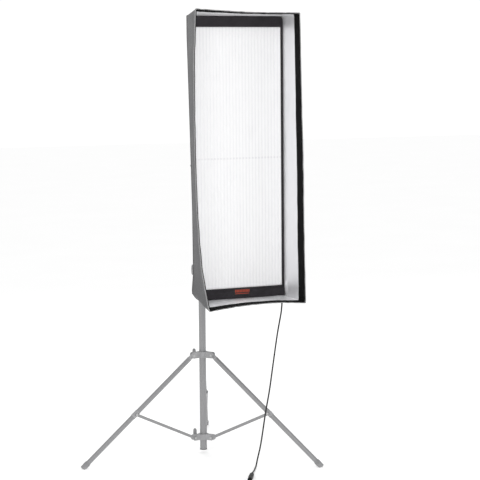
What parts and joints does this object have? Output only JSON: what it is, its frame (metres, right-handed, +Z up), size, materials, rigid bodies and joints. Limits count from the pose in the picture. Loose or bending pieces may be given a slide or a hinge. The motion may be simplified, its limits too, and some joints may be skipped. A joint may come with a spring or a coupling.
{
  "type": "studio softbox",
  "caption": "Tall strip softbox: flexible LED mat with diffusion cloth inside a silver-lined fabric skirt, on an X-rod holder, tilt joint and three-legged telescopic stand.",
  "frame": {"origin": "on the floor, below the middle of the footprint of the stand and the light", "axes": "+Z up, -Y the way the light faces at rest, +X to the right seen from the front"},
  "size_m": [1.0019, 1.1941, 2.045],
  "materials": {
    "satin_tube": "satin",
    "cast_grey": "satin",
    "bright_steel": "bright",
    "knob_grey": "matte",
    "foot_rubber": "matte",
    "black_moulding": "matte",
    "pocket_fabric": "woven",
    "rod_black": "satin",
    "mat_fabric": "woven",
    "border_fabric": "woven",
    "board_white": "matte",
    "diffusion": "woven",
    "skirt_fabric": "woven",
    "hook_band": "looped pile",
    "cable_jacket": "satin",
    "connector_black": "satin"
  },
  "bodies": {
    "column": {"lower_tube": "satin_tube", "tube_end_cap": "black_moulding", "lower_collar": "cast_grey", "brace_pivot_pins": "bright_steel", "mast_lock_lower": "cast_grey"},
    "lower_knob": {"lower_knob": "knob_grey"},
    "mast_knob_lower": {"mast_knob_lower": "knob_grey"},
    "leg_collar": {"leg_collar": "cast_grey", "leg_pivot_pins": "bright_steel"},
    "leg_knob": {"leg_knob": "knob_grey"},
    "leg_1": {"leg_head_1": "cast_grey", "leg_tube_1": "satin_tube", "leg_saddle_1": "satin_tube", "foot_1": "foot_rubber"},
    "brace_1": {"brace_bars_1": "satin_tube", "brace_rivets_1": "bright_steel"},
    "leg_2": {"leg_head_2": "cast_grey", "leg_tube_2": "satin_tube", "leg_saddle_2": "satin_tube", "foot_2": "foot_rubber"},
    "brace_2": {"brace_bars_2": "satin_tube", "brace_rivets_2": "bright_steel"},
    "leg_3": {"leg_head_3": "cast_grey", "leg_tube_3": "satin_tube", "leg_saddle_3": "satin_tube", "foot_3": "foot_rubber"},
    "brace_3": {"brace_bars_3": "satin_tube", "brace_rivets_3": "bright_steel"},
    "mast_mid": {"mid_tube": "satin_tube", "mast_lock_upper": "cast_grey"},
    "mast_knob_upper": {"mast_knob_upper": "knob_grey"},
    "mast_top": {"top_tube": "satin_tube", "spigot": "bright_steel"},
    "swivel": {"receiver": "cast_grey", "tilt_bolt": "bright_steel", "cable": "cable_jacket", "cable_connector": "connector_black"},
    "spigot_knob": {"spigot_knob": "knob_grey"},
    "tilt_lever": {"tilt_lever": "knob_grey"},
    "head": {"tilt_block": "cast_grey", "head_arm": "satin_tube", "hub_plate": "cast_grey", "rod_sockets": "black_moulding", "support_rod_1": "rod_black", "support_rod_2": "rod_black", "support_rod_3": "rod_black", "support_rod_4": "rod_black", "corner_pockets": "pocket_fabric", "mat_backing": "mat_fabric", "led_board": "board_white", "diffusion_cloth": "diffusion", "mat_border": "border_fabric", "skirt_left": "skirt_fabric", "skirt_right": "skirt_fabric", "skirt_top": "skirt_fabric", "skirt_bottom": "skirt_fabric", "skirt_flange": "skirt_fabric", "rim_band": "hook_band", "cable_gland": "black_moulding"}
  },
  "joints": [
    {"name": "leg_fold", "type": "slide", "parent": "column", "child": "leg_collar", "axis": [0, 0, 1], "range_m": [0, 0.3326]},
    {"name": "leg_knob_turn", "type": "hinge", "parent": "leg_collar", "child": "leg_knob", "pos_m": [0.10605, 0.0019, 0.466], "axis": [-0.5864, 0.81, 0], "range_deg": [-180, 180]},
    {"name": "lower_knob_turn", "type": "hinge", "parent": "column", "child": "lower_knob", "pos_m": [0.10605, 0.0019, 0.0781], "axis": [-0.5864, 0.81, 0], "range_deg": [-65, 65]},
    {"name": "mast_knob_lower_turn", "type": "hinge", "parent": "column", "child": "mast_knob_lower", "pos_m": [0.10605, 0.0019, 0.86], "axis": [-0.5864, 0.81, 0], "range_deg": [-180, 180]},
    {"name": "leg_1_hinge", "type": "hinge", "parent": "leg_collar", "child": "leg_1", "pos_m": [0.15073, 0.01697, 0.466], "axis": [-0.9128, 0.4083, 0], "range_deg": [0, 47]},
    {"name": "brace_1_hinge", "type": "hinge", "parent": "column", "child": "brace_1", "pos_m": [0.14992, 0.01514, 0.0781], "axis": [-0.9128, 0.4083, 0], "range_deg": [-59.8, 0]},
    {"name": "leg_2_hinge", "type": "hinge", "parent": "leg_collar", "child": "leg_2", "pos_m": [0.07777, -0.03585, 0.466], "axis": [0.1028, -0.9947, 0], "range_deg": [0, 47]},
    {"name": "brace_2_hinge", "type": "hinge", "parent": "column", "child": "brace_2", "pos_m": [0.07977, -0.03564, 0.0781], "axis": [0.1028, -0.9947, 0], "range_deg": [-59.8, 0]},
    {"name": "leg_3_hinge", "type": "hinge", "parent": "leg_collar", "child": "leg_3", "pos_m": [0.15999, -0.07262, 0.466], "axis": [0.81, 0.5864, 0], "range_deg": [0, 47]},
    {"name": "brace_3_hinge", "type": "hinge", "parent": "column", "child": "brace_3", "pos_m": [0.15882, -0.071, 0.0781], "axis": [0.81, 0.5864, 0], "range_deg": [-59.8, 0]},
    {"name": "mast_lower_slide", "type": "slide", "parent": "column", "child": "mast_mid", "axis": [0, 0, 1], "range_m": [-0.225, 0.26], "deforming": ["cable", "cable_connector"]},
    {"name": "mast_knob_upper_turn", "type": "hinge", "parent": "mast_mid", "child": "mast_knob_upper", "pos_m": [0.16929, -0.02639, 1.14], "axis": [0.9947, 0.1028, 0], "range_deg": [-180, 180]},
    {"name": "mast_upper_slide", "type": "slide", "parent": "mast_mid", "child": "mast_top", "axis": [0, 0, 1], "range_m": [-0.08, 0.34], "deforming": ["cable", "cable_connector"]},
    {"name": "head_pan", "type": "hinge", "parent": "mast_top", "child": "swivel", "pos_m": [0.1295, -0.0305, 1.32], "axis": [0, 0, 1], "range_deg": [-170, 170], "deforming": ["cable", "cable_connector"]},
    {"name": "spigot_knob_turn", "type": "hinge", "parent": "swivel", "child": "spigot_knob", "pos_m": [0.1295, 0.0095, 1.315], "axis": [0, 1, 0], "range_deg": [-180, 180]},
    {"name": "head_tilt", "type": "hinge", "parent": "swivel", "child": "head", "pos_m": [0.1895, -0.0305, 1.389], "axis": [1, 0, 0], "range_deg": [-75, 15], "deforming": ["cable", "cable_connector"]},
    {"name": "tilt_lever_turn", "type": "hinge", "parent": "swivel", "child": "tilt_lever", "pos_m": [0.1025, -0.0305, 1.389], "axis": [1, 0, 0], "range_deg": [0, 120]}
  ],
  "couplings": [
    {"joint": "leg_1_hinge", "follows": "leg_fold", "rad_per_m": 2.4585},
    {"joint": "brace_1_hinge", "follows": "leg_fold", "rad_per_m": -3.1349},
    {"joint": "leg_2_hinge", "follows": "leg_fold", "rad_per_m": 2.4585},
    {"joint": "brace_2_hinge", "follows": "leg_fold", "rad_per_m": -3.1349},
    {"joint": "leg_3_hinge", "follows": "leg_fold", "rad_per_m": 2.4585},
    {"joint": "brace_3_hinge", "follows": "leg_fold", "rad_per_m": -3.1349}
  ]
}
